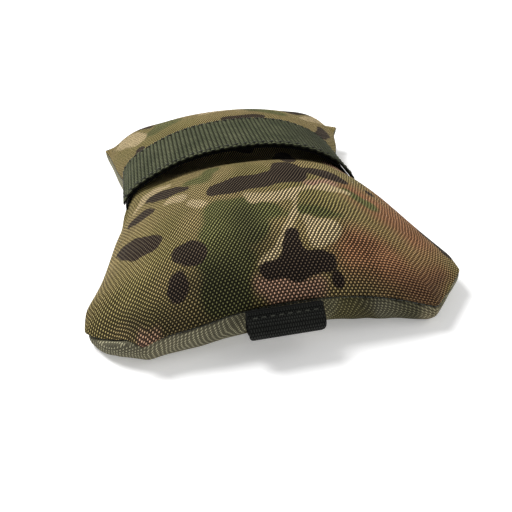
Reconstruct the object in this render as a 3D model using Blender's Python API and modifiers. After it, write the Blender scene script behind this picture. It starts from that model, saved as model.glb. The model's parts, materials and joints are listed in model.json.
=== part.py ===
"""Stuffed fabric training bumper with a webbing hand strap and a webbing pull loop.

The bumper lies on the plane z = 0 with its width along X and its length along Y.
Its pull loop is at the -Y end, and the origin is on the floor under the middle of the bag.
Everything is in metres.
"""
import math

import bmesh
import bpy
from mathutils import Vector

MM = 0.001

# ---- driving dimensions ----
BAG_WIDTH = 160 * MM
BAG_LENGTH = 212 * MM
CORNER_CUT = 21 * MM          # leg of the 45 degree cut at each corner of the cover
PANEL_THICKNESS = 1.0 * MM
SEAM_GROOVE = 1.8 * MM        # space between the two panels at the seam, which the thread fills
THREAD_STANDOFF = 0.4 * MM    # how far outside the panels the seam thread shows
FILLING_GAP = 2.1 * MM        # clear space between the stuffing and the cloth
FILLING_REACH = 0.93          # how far out the stuffing goes, as a share of the bag

PINCH_LEFT = 13 * MM          # how far the strap draws each long side in
PINCH_RIGHT = 15 * MM
TUCK_LEFT = 3.5 * MM          # and how much more each is drawn in just at the strap
TUCK_RIGHT = 7 * MM
TUCK_WIDTH = 34 * MM
PINCH_ENDS = 4.2 * MM         # how far the filling draws the middle of each end in

SEAM_SIDE_Z = 14.5 * MM       # height of the seam at the middle of the sides, the ends
SEAM_END_Z = 19.6 * MM        # and the corners
SEAM_NEAR_CORNER_Z = 9.5 * MM
SEAM_FAR_CORNER_Z = 15.5 * MM
CROWN_NEAR_Z = 44.5 * MM
CROWN_FAR_Z = 48 * MM
BELLY_DEPTH = 30 * MM         # how deep the lower panel would hang without the floor
CUT_FADE = 6                  # how fast the corner cut's effect dies away inwards
SIDE_SEAM_BEND = 3            # how late the seam turns towards a corner's height,
END_SEAM_BEND = 2.5           # along the sides and along the ends

# power and roundness of each dome, across the width and along the length
TOP_ACROSS = (2.3, 0.80)
TOP_ALONG = (2.1, 0.62)
BOTTOM_ACROSS = (2.6, 0.42)
BOTTOM_ALONG = (3.2, 0.42)
VALLEY_ACROSS = (2.0, 1.5)
ARCH_LEFT = (2.3, 0.62)
ARCH_RIGHT = (2.3, 0.70)

STRAP_WIDTH = 40 * MM
STRAP_Y = 11 * MM
STRAP_THICKNESS = 1.7 * MM
LINING_THICKNESS = 1.1 * MM
LAYER_GAP = 0.3 * MM
STRAP_UNDERSIDE_Z = 45.6 * MM
STRAP_END_Z = 14.5 * MM
STRAP_STOP = 0.79             # where the outer webbing ends, as a share of the half arch
STRAP_CLEARANCE = 2.6 * MM    # from the side seam out to the underside of the strap's end
LINING_INSET = 1.0 * MM       # how much narrower the lining is, at each edge
VALLEY_DEPTH = 13.5 * MM      # how deep the cover dips under the strap
VALLEY_WIDTH = 30 * MM

LOOP_WIDTH = 30 * MM
LOOP_X = -5 * MM
LOOP_THICKNESS = 1.5 * MM
LOOP_EYE_RADIUS = 3.3 * MM
LOOP_EYE_DISTANCE = 8 * MM   # from the hinge line to the centre of the eye
LOOP_DROOP = math.radians(58)
LOOP_ROOT_Y = -104.8 * MM
LOOP_STRAIGHT_SHARE = 0.38      # share of each half of the webbing that runs from root to eye

THREAD_RADIUS = 0.35 * MM
TACK_RADIUS = 0.6 * MM
TACK_PLACE = 0.975              # as a share of the half arch
TACK_INSET = 3 * MM
STITCH_INSET = 2.5 * MM
STITCH_END_SHARE = 0.03         # how far short of the strap's ends its stitching turns
LOOP_STITCH_DISTANCE = 2.2 * MM
LOOP_STITCH_INSET = 1.5 * MM
LOOP_STITCH_GAP = 0.6 * MM

PANEL_COLUMNS = 20
PANEL_ROWS = 26
FILLING_COLUMNS = 14
FILLING_ROWS = 20
LINING_STEPS = 36
STRAP_STEPS = 34
STITCHING_STEPS = 30
LOOP_STEPS = 30

HALF_WIDTH = BAG_WIDTH / 2
HALF_LENGTH = BAG_LENGTH / 2

OLIVE = (0.055, 0.062, 0.028, 1)
DARK_GREEN = (0.012, 0.014, 0.009, 1)
CAMO = (0.11, 0.095, 0.05, 1)
GREY_GREEN = (0.16, 0.16, 0.11, 1)
THREAD = (0.04, 0.045, 0.02, 1)
FIBRE = (0.75, 0.75, 0.72, 1)

collection = None


def clear_scene():
    for obj in list(bpy.data.objects):
        bpy.data.objects.remove(obj, do_unlink=True)


def material(name, colour, roughness):
    mat = bpy.data.materials.new(name)
    mat.use_nodes = True
    shader = mat.node_tree.nodes["Principled BSDF"]
    shader.inputs["Base Color"].default_value = colour
    shader.inputs["Roughness"].default_value = roughness
    shader.inputs["Metallic"].default_value = 0.0
    return mat


def add_object(name, data, colour, roughness=0.85):
    obj = bpy.data.objects.new(name, data)
    data.materials.append(material(name, colour, roughness))
    collection.objects.link(obj)
    return obj


# ---- the shape of the stuffed bag ----
# A place on either panel is (u, v), from -1 to 1 across the width and along the length.

def smoothstep(value, low, high):
    t = min(1.0, max(0.0, (value - low) / (high - low)))
    return t * t * (3 - 2 * t)


def dome(t, power, roundness):
    return max(0.0, 1 - abs(t) ** power) ** roundness


def plan(u, v):
    """The place of (u, v) seen from above: a rectangle with cut corners and drawn-in sides."""
    ring = max(abs(u), abs(v))
    if ring == 0:
        return 0.0, 0.0
    x = u * HALF_WIDTH
    y = v * HALF_LENGTH
    beyond = (abs(x) + abs(y)) / ring - (HALF_WIDTH + HALF_LENGTH - CORNER_CUT)
    cut = max(0.0, beyond) / 2 * ring ** CUT_FADE
    x -= math.copysign(cut, x)
    y -= math.copysign(cut, y)
    pinch = PINCH_LEFT if x < 0 else PINCH_RIGHT
    along = (y - STRAP_Y) / (HALF_LENGTH - CORNER_CUT)
    tuck = TUCK_LEFT if x < 0 else TUCK_RIGHT
    drawn_in = pinch * max(0.0, 1 - along ** 2) + tuck * math.exp(-((y - STRAP_Y) / TUCK_WIDTH) ** 4)
    x -= x / HALF_WIDTH * drawn_in
    across = x / (HALF_WIDTH - CORNER_CUT)
    y -= y / HALF_LENGTH * PINCH_ENDS * max(0.0, 1 - across ** 2)
    return x, y


def seam_height(u, v):
    corner = SEAM_NEAR_CORNER_Z if v < 0 else SEAM_FAR_CORNER_Z
    to_corner_v = min(1.0, abs(v) / (1 - CORNER_CUT / HALF_LENGTH))
    to_corner_u = min(1.0, abs(u) / (1 - CORNER_CUT / HALF_WIDTH))
    side = SEAM_SIDE_Z + (corner - SEAM_SIDE_Z) * to_corner_v ** SIDE_SEAM_BEND
    end = SEAM_END_Z + (corner - SEAM_END_Z) * to_corner_u ** END_SEAM_BEND
    weight = abs(u) ** 4 / (abs(u) ** 4 + abs(v) ** 4 + 1e-9)
    return side * weight + end * (1 - weight)


def crown_height(v):
    return CROWN_NEAR_Z + (CROWN_FAR_Z - CROWN_NEAR_Z) * smoothstep(v, -0.5, 0.6)


def top_height(u, v):
    seam = seam_height(u, v)
    dip = math.exp(-((v * HALF_LENGTH - STRAP_Y) / VALLEY_WIDTH) ** 2)
    fullness = dome(u, *TOP_ACROSS) * dome(v, *TOP_ALONG)
    valley = VALLEY_DEPTH * dip * dome(u, *VALLEY_ACROSS)
    return seam + SEAM_GROOVE / 2 + fullness * (crown_height(v) - seam) - valley


def bottom_height(u, v):
    seam = seam_height(u, v)
    fullness = dome(u, *BOTTOM_ACROSS) * dome(v, *BOTTOM_ALONG)
    return max(0.0, seam - SEAM_GROOVE / 2 - fullness * BELLY_DEPTH)


def spread(s):
    """Even steps in s crowd towards the seam, where the cover curves most."""
    return math.sin(s * math.pi / 2)


def bag_surface(height, columns, rows, reach=1.0):
    """A grid laid on one side of the bag, out to the given share of its width and length."""
    bm = bmesh.new()
    bmesh.ops.create_grid(bm, x_segments=columns, y_segments=rows, size=1.0)
    for vert in bm.verts:
        u = spread(vert.co.x) * reach
        v = spread(vert.co.y) * reach
        x, y = plan(u, v)
        vert.co = (x, y, height(u, v))
    return bm


def finish_mesh(bm, name, smooth_angle=math.radians(40)):
    bm.normal_update()
    mesh = bpy.data.meshes.new(name)
    bm.to_mesh(mesh)
    bm.free()
    mesh.shade_smooth()
    mesh.set_sharp_from_angle(angle=smooth_angle)
    return mesh


def add_panel(name, height, faces_down, colour):
    bm = bag_surface(height, PANEL_COLUMNS, PANEL_ROWS)
    if faces_down:
        bmesh.ops.reverse_faces(bm, faces=bm.faces)
    obj = add_object(name, finish_mesh(bm, name), colour)
    shell = obj.modifiers.new("cloth", "SOLIDIFY")
    shell.thickness = PANEL_THICKNESS
    shell.offset = -1
    return obj


def add_filling():
    """The stuffing: both faces of the bag, moved in from the panels and joined by a wall."""
    depth = PANEL_THICKNESS + FILLING_GAP
    solid = bmesh.new()
    for height, sign in ((top_height, 1), (bottom_height, -1)):
        side = bag_surface(height, FILLING_COLUMNS, FILLING_ROWS, FILLING_REACH)
        if sign < 0:
            bmesh.ops.reverse_faces(side, faces=side.faces)
        side.normal_update()
        moves = [(vert, vert.normal * depth * vert.calc_shell_factor()) for vert in side.verts]
        for vert, move in moves:
            vert.co -= move
        mesh = bpy.data.meshes.new("filling_side")
        side.to_mesh(mesh)
        side.free()
        solid.from_mesh(mesh)
        bpy.data.meshes.remove(mesh)
    rims = [edge for edge in solid.edges if edge.is_boundary]
    bmesh.ops.bridge_loops(solid, edges=rims)
    bmesh.ops.recalc_face_normals(solid, faces=solid.faces)
    return add_object("filling", finish_mesh(solid, "filling"), FIBRE, 0.95)


# ---- threads and webbing ----

def add_thread(name, points, radius, closed=False, colour=THREAD):
    curve = bpy.data.curves.new(name, "CURVE")
    curve.dimensions = "3D"
    curve.bevel_depth = radius
    curve.bevel_resolution = 1
    curve.use_fill_caps = not closed
    spline = curve.splines.new("POLY")
    spline.points.add(len(points) - 1)
    for point, place in zip(spline.points, points):
        point.co = (*place, 1)
    spline.use_cyclic_u = closed
    return add_object(name, curve, colour, 0.7)


def add_webbing(name, place, along, across, thickness, colour):
    """A woven strip: place(s, w) gives its middle surface, with s and w from -1 to 1."""
    bm = bmesh.new()
    bmesh.ops.create_grid(bm, x_segments=along, y_segments=across, size=1.0)
    for vert in bm.verts:
        vert.co = place(vert.co.x, vert.co.y)
    bmesh.ops.recalc_face_normals(bm, faces=bm.faces)
    obj = add_object(name, finish_mesh(bm, name), colour)
    shell = obj.modifiers.new("webbing", "SOLIDIFY")
    shell.thickness = thickness
    shell.offset = 0
    return obj


def arch(s, offset):
    """The strap's line across the bag, moved out by offset from its underside."""
    def underside(s):
        u = spread(s)
        edge = plan(math.copysign(1, u), STRAP_Y / HALF_LENGTH)[0]
        x = abs(u) * (edge + math.copysign(STRAP_CLEARANCE, edge))
        rise = dome(u, *(ARCH_LEFT if u < 0 else ARCH_RIGHT)) * (STRAP_UNDERSIDE_Z - STRAP_END_Z)
        return Vector((x, STRAP_END_Z + rise))

    step = 0.01
    low = max(-1.0, s - step)
    high = min(1.0, s + step)
    along = (underside(high) - underside(low)).normalized()
    return underside(s) + Vector((-along.y, along.x)) * offset


def strap_point(s, w, offset, half_width):
    x, z = arch(s, offset)
    return Vector((x, STRAP_Y + w * half_width, z))


def add_strap():
    half = STRAP_WIDTH / 2
    lining_middle = LINING_THICKNESS / 2
    strap_middle = LINING_THICKNESS + LAYER_GAP + STRAP_THICKNESS / 2
    thread_middle = strap_middle + STRAP_THICKNESS / 2 + LAYER_GAP + THREAD_RADIUS

    add_webbing("hand_strap_lining",
                lambda s, w: strap_point(s, w, lining_middle, half - LINING_INSET),
                LINING_STEPS, 2, LINING_THICKNESS, DARK_GREEN)
    add_webbing("hand_strap",
                lambda s, w: strap_point(s * STRAP_STOP, w, strap_middle, half),
                STRAP_STEPS, 2, STRAP_THICKNESS, OLIVE)

    # one line of stitching runs round the outer webbing, near its edges
    reach = STRAP_STOP - STITCH_END_SHARE
    row = [reach * (2 * i / STITCHING_STEPS - 1) for i in range(STITCHING_STEPS + 1)]
    inset = half - STITCH_INSET
    near = [strap_point(s, -1, thread_middle, inset) for s in row]
    far = [strap_point(s, 1, thread_middle, inset) for s in reversed(row)]
    add_thread("strap_stitching", near + far, THREAD_RADIUS, closed=True)

    # a bar of stitches sews each end of the lining to the side seam
    tack_middle = LINING_THICKNESS + LAYER_GAP + TACK_RADIUS
    for name, s in (("strap_tack_left", -TACK_PLACE), ("strap_tack_right", TACK_PLACE)):
        ends = [strap_point(s, w, tack_middle, half - TACK_INSET) for w in (-1, 1)]
        add_thread(name, ends, TACK_RADIUS)


def loop_profile(t):
    """The folded webbing seen from its edge: t runs from one root (-1), round the eye, to the other (1).

    Gives the distance from the hinge line and the height above the loop's middle plane.
    """
    bend = LOOP_EYE_RADIUS + LOOP_THICKNESS / 2
    root = LOOP_THICKNESS / 2 + LAYER_GAP / 2
    straight = 1 - LOOP_STRAIGHT_SHARE
    if abs(t) >= straight:
        share = (1 - abs(t)) / (1 - straight)
        distance = share * LOOP_EYE_DISTANCE
        height = root + (bend - root) * smoothstep(share, 0.15, 0.95)
        return distance, math.copysign(height, -t)
    angle = t / straight * math.pi / 2
    return LOOP_EYE_DISTANCE + bend * math.cos(angle), -bend * math.sin(angle)


def loop_point(distance, height, x):
    """A place on the drooping loop, from its distance along it and its height above its middle."""
    hinge_z = seam_height(LOOP_X / HALF_WIDTH, -1)
    y = LOOP_ROOT_Y - distance * math.cos(LOOP_DROOP) - height * math.sin(LOOP_DROOP)
    z = hinge_z - distance * math.sin(LOOP_DROOP) + height * math.cos(LOOP_DROOP)
    return Vector((x, y, z))


def set_origin(obj, origin):
    """Moves the object's origin to its joint's axis and leaves its shape in place."""
    for vert in obj.data.vertices:
        vert.co -= origin
    obj.location = origin


def add_pull_loop():
    hinge = loop_point(0, 0, LOOP_X)
    loop = add_webbing("pull_loop",
                       lambda t, w: loop_point(*loop_profile(t), LOOP_X + w * LOOP_WIDTH / 2),
                       LOOP_STEPS, 2, LOOP_THICKNESS, DARK_GREEN)
    set_origin(loop, hinge)
    height = LOOP_THICKNESS + LOOP_STITCH_GAP + THREAD_RADIUS
    half = LOOP_WIDTH / 2 - LOOP_STITCH_INSET
    ends = [loop_point(LOOP_STITCH_DISTANCE, height, LOOP_X + side * half) for side in (-1, 1)]
    add_thread("pull_loop_stitching", ends, THREAD_RADIUS)


def add_seam_thread():
    """The lockstitch that joins the two panels, lying in the groove between them."""
    across = [spread(2 * i / PANEL_COLUMNS - 1) for i in range(PANEL_COLUMNS)]
    along = [spread(2 * i / PANEL_ROWS - 1) for i in range(PANEL_ROWS)]
    ring = [(step, -1) for step in across]
    ring += [(1, step) for step in along]
    ring += [(-step, 1) for step in across]
    ring += [(-1, -step) for step in along]
    points = []
    for u, v in ring:
        x, y = plan(u, v)
        outward = Vector((x, y)).normalized() * THREAD_STANDOFF
        points.append((x + outward.x, y + outward.y, seam_height(u, v)))
    add_thread("seam_thread", points, THREAD_RADIUS, closed=True)


def main():
    global collection
    clear_scene()
    collection = bpy.data.collections.new("training_bumper")
    bpy.context.scene.collection.children.link(collection)
    add_panel("top_panel", top_height, False, CAMO)
    add_panel("bottom_panel", bottom_height, True, GREY_GREEN)
    add_filling()
    add_seam_thread()
    add_strap()
    add_pull_loop()


main()
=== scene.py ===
"""Looks of the stuffed training bumper: a camouflage nylon bag with a ribbed webbing hand strap.

The bumper lies on z = 0 with its width along X and its length along Y, its pull loop at -Y.
Everything is in metres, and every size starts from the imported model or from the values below.
"""

import functools
import json
import math

import bpy
import numpy as np
from mathutils import Matrix, Vector, noise


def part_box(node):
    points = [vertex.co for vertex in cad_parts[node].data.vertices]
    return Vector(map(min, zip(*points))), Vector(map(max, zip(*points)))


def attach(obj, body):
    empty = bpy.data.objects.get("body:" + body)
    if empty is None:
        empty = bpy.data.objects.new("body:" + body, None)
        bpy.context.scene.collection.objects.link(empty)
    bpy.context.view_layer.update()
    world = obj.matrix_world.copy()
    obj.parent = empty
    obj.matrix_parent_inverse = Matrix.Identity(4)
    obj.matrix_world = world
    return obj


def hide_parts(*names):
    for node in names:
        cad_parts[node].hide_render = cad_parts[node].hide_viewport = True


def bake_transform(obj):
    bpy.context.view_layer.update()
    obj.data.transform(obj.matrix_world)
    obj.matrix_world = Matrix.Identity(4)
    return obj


MM = 0.001


def mm(*values):
    """Millimetres as an array in metres."""
    return np.array(values) * MM


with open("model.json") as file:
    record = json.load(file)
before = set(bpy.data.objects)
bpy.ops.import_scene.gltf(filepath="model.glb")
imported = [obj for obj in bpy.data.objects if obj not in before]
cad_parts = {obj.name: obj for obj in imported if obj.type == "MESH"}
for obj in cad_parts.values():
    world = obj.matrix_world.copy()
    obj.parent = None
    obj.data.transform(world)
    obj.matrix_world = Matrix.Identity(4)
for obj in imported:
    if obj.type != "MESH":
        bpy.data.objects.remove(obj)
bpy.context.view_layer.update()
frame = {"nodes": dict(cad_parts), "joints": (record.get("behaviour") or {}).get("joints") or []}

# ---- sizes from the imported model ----
panel_low, panel_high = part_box("top_panel")
strap_low, strap_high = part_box("hand_strap")
lining_low, lining_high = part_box("hand_strap_lining")
loop_low, loop_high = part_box("pull_loop")
joints = {joint["name"]: joint for joint in frame["joints"]}
loop_hinge = Vector(joints["loop_swing"]["pos_m"])

HALF_WIDTH = round((panel_high.x - panel_low.x) / 2, 3)
HALF_LENGTH = round((panel_high.y - panel_low.y) / 2, 3)
STRAP_Y = (strap_low.y + strap_high.y) / 2
STRAP_HALF = (strap_high.y - strap_low.y) / 2
LINING_HALF = (lining_high.y - lining_low.y) / 2
STRAP_TOP_Z = strap_high.z
LOOP_X = (loop_low.x + loop_high.x) / 2
LOOP_HALF = (loop_high.x - loop_low.x) / 2

# ---- the stuffed bag's form: its cut, its seam, and how full each panel stands over it ----
CORNER_CUT = 21 * MM
CUT_FADE = 6                     # how fast a corner's cut fades towards the bag's middle
PINCH_LEFT = 13 * MM
PINCH_RIGHT = 15 * MM
TUCK_LEFT = 3.5 * MM
TUCK_RIGHT = 7 * MM
TUCK_WIDTH = 34 * MM
PINCH_ENDS = 4.2 * MM
SEAM_SIDE_Z = 14.5 * MM
SEAM_END_Z = loop_hinge.z
SEAM_NEAR_CORNER_Z = 9.5 * MM
SEAM_FAR_CORNER_Z = 15.5 * MM
CROWN_NEAR_Z = 44.5 * MM
CROWN_FAR_Z = 46.6 * MM
BELLY_DEPTH = 30 * MM
VALLEY_DEPTH = 13.5 * MM
VALLEY_WIDTH = 25 * MM
# each dome is (power, roundness): a high power is flat in the middle, a low roundness steep at the rim
TOP_ACROSS, TOP_ALONG = (2.3, 0.80), (2.1, 0.62)
BOTTOM_ACROSS, BOTTOM_ALONG = (2.6, 0.42), (3.2, 0.42)
VALLEY_ACROSS = (2.0, 1.5)

# ---- dents and puffs of the stuffed cloth: how it moves, and how far each move reaches ----
EAR_HANG, EAR_LIFT, EAR_REACH = mm(-2.0, 0, -3.4), mm(0, 2.0, 2.4), 26 * MM
FAR_POINTS, FAR_POINT_REACH = ((-1.0, mm(-0.8, 0.4, 0.8)), (1.0, mm(2.6, 0.4, 0.2))), 9 * MM
TIP_PUFF, TIP_REACH = mm(-0.48, -1.92, -1.32), 11 * MM
BESIDE_EAR_PUFF, BESIDE_EAR_REACH = mm(-1.8, 0, 0.4), 22 * MM
UNDER_EAR_PUFF, UNDER_EAR_REACH = mm(-2.2, -2.2, -1.2), 18 * MM
FAR_DENT, FAR_DENT_REACH = mm(0, 0, -1.8), 10 * MM
FAR_PUFF, FAR_PUFF_REACH = mm(0.4, 0.2, 1.6), 22 * MM
FOLD_DENT, FOLD_WIDTH = mm(0, 2.2, 1.1), 3.2 * MM
FOLD_RIDGE, RIDGE_WIDTH, RIDGE_OFFSET = mm(0.1, -0.9, -0.1), 3.0 * MM, 5.5 * MM
# how the panel's edge turns in at the seam: (inward, lift) of each row of vertices
SEAM_TURN = mm((2.6, 0.12), (1.5, 0.28), (0.6, 0.6), (0.15, 1.0))

# ---- webbing ----
STRAP_THICKNESS = 1.7 * MM
LINING_THICKNESS = 1.1 * MM
LAYER_GAP = 0.3 * MM
STRAP_CLEARANCE = 1.0 * MM
STRAP_STOP = 0.79                # the share of the lining's way that the strap covers
STRAP_UNDERSIDE_Z = STRAP_TOP_Z - STRAP_THICKNESS - LAYER_GAP - LINING_THICKNESS
STRAP_END_Z = 14.5 * MM
ARCH_LEFT, ARCH_RIGHT = (2.3, 0.62), (2.3, 0.70)
LINING_TUCK, LINING_TUCK_HEIGHT = 3.2 * MM, 8 * MM
RIGHT_PULL, RIGHT_PULL_HEIGHT = 1.6 * MM, 22 * MM
LEFT_FLARE, FLARE_HEIGHT, FLARE_SPAN = 2.2 * MM, 16 * MM, 8 * MM
ARCH_POINTS = 1201
STRAP_RIB, STRAP_RIB_DEPTH = 2.2 * MM, 0.55 * MM
LINING_RIB, LINING_RIB_DEPTH = 1.3 * MM, 0.12 * MM
LOOP_RIB, LOOP_RIB_DEPTH = 1.25 * MM, 0.18 * MM
LOOP_THICKNESS = 1.5 * MM
LOOP_EYE_RADIUS = 2.8 * MM
LOOP_EYE_DISTANCE = 7 * MM
LOOP_DROOP = math.radians(70)
LOOP_ROOT_Y = loop_hinge.y + 0.6 * MM
LOOP_ROOT_Z = loop_hinge.z + 1.2 * MM
LOOP_NARROWING, NARROWING_SPAN = 1.3 * MM, 0.09
SELVAGE_ROUND = 0.8 * MM
THREAD_RADIUS = 0.3 * MM

# ---- stitching: (stitch, gap) of each row, and how far the rows stand in from the edges ----
STRAP_EDGE_STITCH, STRAP_END_STITCH = (2.9 * MM, 1.5 * MM), (2.6 * MM, 1.2 * MM)
LOOP_STITCH, SEAM_STITCH = (2.1 * MM, 0.9 * MM), (2.7 * MM, 0.6 * MM)
STRAP_STITCH_INSET = 2.2 * MM
CROSS_ROW_INSET = 3 * MM
LOOP_STITCH_INSET = 1.5 * MM
STITCH_RISE = 0.25 * MM
TACK_TURNS = 46
TACK_HALF_WIDTH = 0.9 * MM
TACK_STOP = 0.975

# ---- the cloth: the pitch of its yarns, its mesh, and how it is swollen ----
YARN_X = 0.76 * MM
YARN_Y = 1.12 * MM
COLUMNS = 88
ROWS = 116
SIMULATION_SCALE = 10
SIMULATION_FRAMES = 20
SPARE_CLOTH = 1.06
CLOTH_VALUES = {
    "quality": 6, "mass": 0.3, "tension_stiffness": 15, "compression_stiffness": 15,
    "shear_stiffness": 5, "bending_stiffness": 0.5, "air_damping": 1, "use_pressure": True,
    "uniform_pressure_force": 22, "pin_stiffness": 1.0,
}

# ---- camera and light ----
CAMERA_PLACE = (-44.4 * MM, -267.7 * MM, 152.8 * MM)
CAMERA_YAW, CAMERA_PITCH, CAMERA_ROLL = math.radians(10.15), math.radians(32.9), math.radians(2.3)
CAMERA_LENS = 39.49
LIGHT_TARGET = (0, 0, 0.02)
LIGHTS = {                       # name: (place, diameter, watts)
    "key": ((-0.55, 0.55, 1.1), 0.7, 22),
    "fill": ((0.9, -0.4, 0.9), 1.0, 3),
}
SKY_STRENGTH = 0.36
FLOOR_HALF = 4.0
FLOOR_GLOW = 0.28

scene = bpy.context.scene


def smoothstep(value, low, high):
    """0 up to low and 1 from high, with a smooth rise between."""
    t = np.clip((value - low) / (high - low), 0.0, 1.0)
    return t * t * (3 - 2 * t)


def dome(t, power, roundness):
    """1 in the middle and 0 at either end of t, which runs from -1 to 1."""
    return np.maximum(0.0, 1 - np.abs(t) ** power) ** roundness


# ---- the form of the bag ----
# A place on either panel is (u, v), from -1 to 1 across the width and along the length.

def cut_plan(u, v):
    """The place of (u, v) on the flat panel as it was cut: a rectangle with cut corners."""
    ring = np.maximum(np.maximum(np.abs(u), np.abs(v)), 1e-9)
    x = u * HALF_WIDTH
    y = v * HALF_LENGTH
    beyond = (np.abs(x) + np.abs(y)) / ring - (HALF_WIDTH + HALF_LENGTH - CORNER_CUT)
    cut = np.maximum(0.0, beyond) / 2 * ring ** CUT_FADE
    return x - np.copysign(cut, x), y - np.copysign(cut, y)


def plan(u, v):
    """The place of (u, v) on the stuffed bag seen from above, with its sides drawn in."""
    x, y = cut_plan(u, v)
    pinch = np.where(x < 0, PINCH_LEFT, PINCH_RIGHT)
    along = (y - STRAP_Y) / (HALF_LENGTH - CORNER_CUT)
    tuck = np.where(x < 0, TUCK_LEFT, TUCK_RIGHT) * np.exp(-((y - STRAP_Y) / TUCK_WIDTH) ** 4)
    x = x - x / HALF_WIDTH * (pinch * np.maximum(0.0, 1 - along ** 2) + tuck)
    across = x / (HALF_WIDTH - CORNER_CUT)
    y = y - y / HALF_LENGTH * PINCH_ENDS * np.maximum(0.0, 1 - across ** 2)
    return x, y


def seam_height(u, v):
    """The seam's height, which falls and rises round the bag; inside the seam it is carried across."""
    corner = np.where(v < 0, SEAM_NEAR_CORNER_Z, SEAM_FAR_CORNER_Z)
    to_corner_v = np.minimum(1.0, np.abs(v) / (1 - CORNER_CUT / HALF_LENGTH))
    to_corner_u = np.minimum(1.0, np.abs(u) / (1 - CORNER_CUT / HALF_WIDTH))
    side = SEAM_SIDE_Z + (corner - SEAM_SIDE_Z) * to_corner_v ** 3
    end = SEAM_END_Z + (corner - SEAM_END_Z) * to_corner_u ** 2.5
    weight = np.abs(u) ** 4 / (np.abs(u) ** 4 + np.abs(v) ** 4 + 1e-9)
    return side * weight + end * (1 - weight)


def top_height(u, v):
    """The upper panel: two crowns, near and far, with a valley under the strap."""
    seam = seam_height(u, v)
    crown = CROWN_NEAR_Z + (CROWN_FAR_Z - CROWN_NEAR_Z) * smoothstep(v, -0.5, 0.6)
    dip = np.exp(-((v * HALF_LENGTH - STRAP_Y) / VALLEY_WIDTH) ** 2)
    fullness = dome(u, *TOP_ACROSS) * dome(v, *TOP_ALONG)
    return seam + fullness * (crown - seam) - VALLEY_DEPTH * dip * dome(u, *VALLEY_ACROSS)


def bottom_height(u, v):
    """The lower panel, flat where the bag rests."""
    seam = seam_height(u, v)
    fullness = dome(u, *BOTTOM_ACROSS) * dome(v, *BOTTOM_ALONG)
    return np.maximum(0.0, seam - fullness * BELLY_DEPTH)


def spread(share):
    """Even steps in share crowd towards the seam, where the cover curves most."""
    return np.sin(share * math.pi / 2)


GRID_U, GRID_V = np.meshgrid(spread(np.linspace(-1, 1, COLUMNS + 1)), spread(np.linspace(-1, 1, ROWS + 1)))
FROM_MIDDLE = np.maximum(np.abs(GRID_U), np.abs(GRID_V))


def unit(vectors):
    """The same directions with a length of 1."""
    return vectors / np.maximum(np.linalg.norm(vectors, axis=-1, keepdims=True), 1e-9)


def along_path(path):
    """Distance along a line of points, from its start."""
    steps = np.linalg.norm(np.diff(path, axis=0), axis=1)
    return np.concatenate([[0.0], np.cumsum(steps)])


def sample(values, length, places):
    """What a line's values are at given places along its length."""
    return np.stack([np.interp(places, length, values[:, axis]) for axis in range(3)], axis=1)


def surface(height, u, v):
    """The places of a panel's (u, v) in space."""
    x, y = plan(u, v)
    return np.stack([x, y, height(u, v)], axis=-1)


def cloth_places(height, u, v):
    """Where (u, v) lies along the cover's yarns, in metres of cloth from the bag's middle."""
    line = np.linspace(-1, 1, 401)
    x_cut, y_cut = cut_plan(u, v)
    places = []
    for flat, half, fixed in ((x_cut, HALF_WIDTH, "v"), (y_cut, HALF_LENGTH, "u")):
        steady = np.full_like(line, -0.5)
        path = surface(height, line, steady) if fixed == "v" else surface(height, steady, line)
        length = along_path(path)
        length -= np.interp(0.0, line, length)
        places.append(np.interp(flat / half, line, length))
    return places[0], places[1]


# ---- mesh helpers ----

def grid_faces(index, flip=False):
    """Quads between neighbouring places of a 2D array of vertex numbers."""
    a, b = index[:-1, :-1].ravel(), index[:-1, 1:].ravel()
    c, d = index[1:, 1:].ravel(), index[1:, :-1].ravel()
    quads = np.stack([a, d, c, b] if flip else [a, b, c, d], axis=1)
    return quads.tolist()


def new_piece(name, points, faces, smooth=True):
    mesh = bpy.data.meshes.new(name)
    mesh.from_pydata(np.asarray(points, float).reshape(-1, 3).tolist(), [], faces)
    mesh.validate()
    if smooth:
        mesh.shade_smooth()
    piece = bpy.data.objects.new(name, mesh)
    scene.collection.objects.link(piece)
    return piece


def set_values(mesh, name, values):
    """Gives each vertex a number or a vector, which the materials read by name."""
    values = np.asarray(values, np.float32)
    kind = "FLOAT" if values.ndim == 1 else "FLOAT_VECTOR"
    attribute = mesh.attributes.get(name) or mesh.attributes.new(name, kind, "POINT")
    attribute.data.foreach_set("value" if values.ndim == 1 else "vector", values.ravel())


def get_values(mesh, name):
    values = np.zeros(len(mesh.vertices), np.float32)
    mesh.attributes[name].data.foreach_get("value", values)
    return values.astype(float)


def vertex_places(mesh, name="co"):
    places = np.zeros(len(mesh.vertices) * 3, np.float32)
    mesh.vertices.foreach_get(name, places)
    return places.reshape(-1, 3).astype(float)


def bake_modifiers(piece):
    """Replaces the piece's mesh with what its modifiers make of it."""
    graph = bpy.context.evaluated_depsgraph_get()
    mesh = bpy.data.meshes.new_from_object(piece.evaluated_get(graph))
    piece.modifiers.clear()
    piece.data = mesh


def lumps(points, size, seed=0.0, octaves=3):
    """Soft noise, about -1 to 1, whose bumps are about size across."""
    shift = Vector((seed, seed * 1.7, seed * 2.3))
    return np.array([noise.fractal(Vector(p) / size + shift, 1.0, 2.0, octaves)
                     for p in np.asarray(points).reshape(-1, 3)])


# ---- the camouflage print, and soft patches of painted shade ----
# Each shape is a brush stroke: (x, y, radius) in millimetres on the panel, x from -80 to 80
# and y from -106 to 106.

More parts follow.
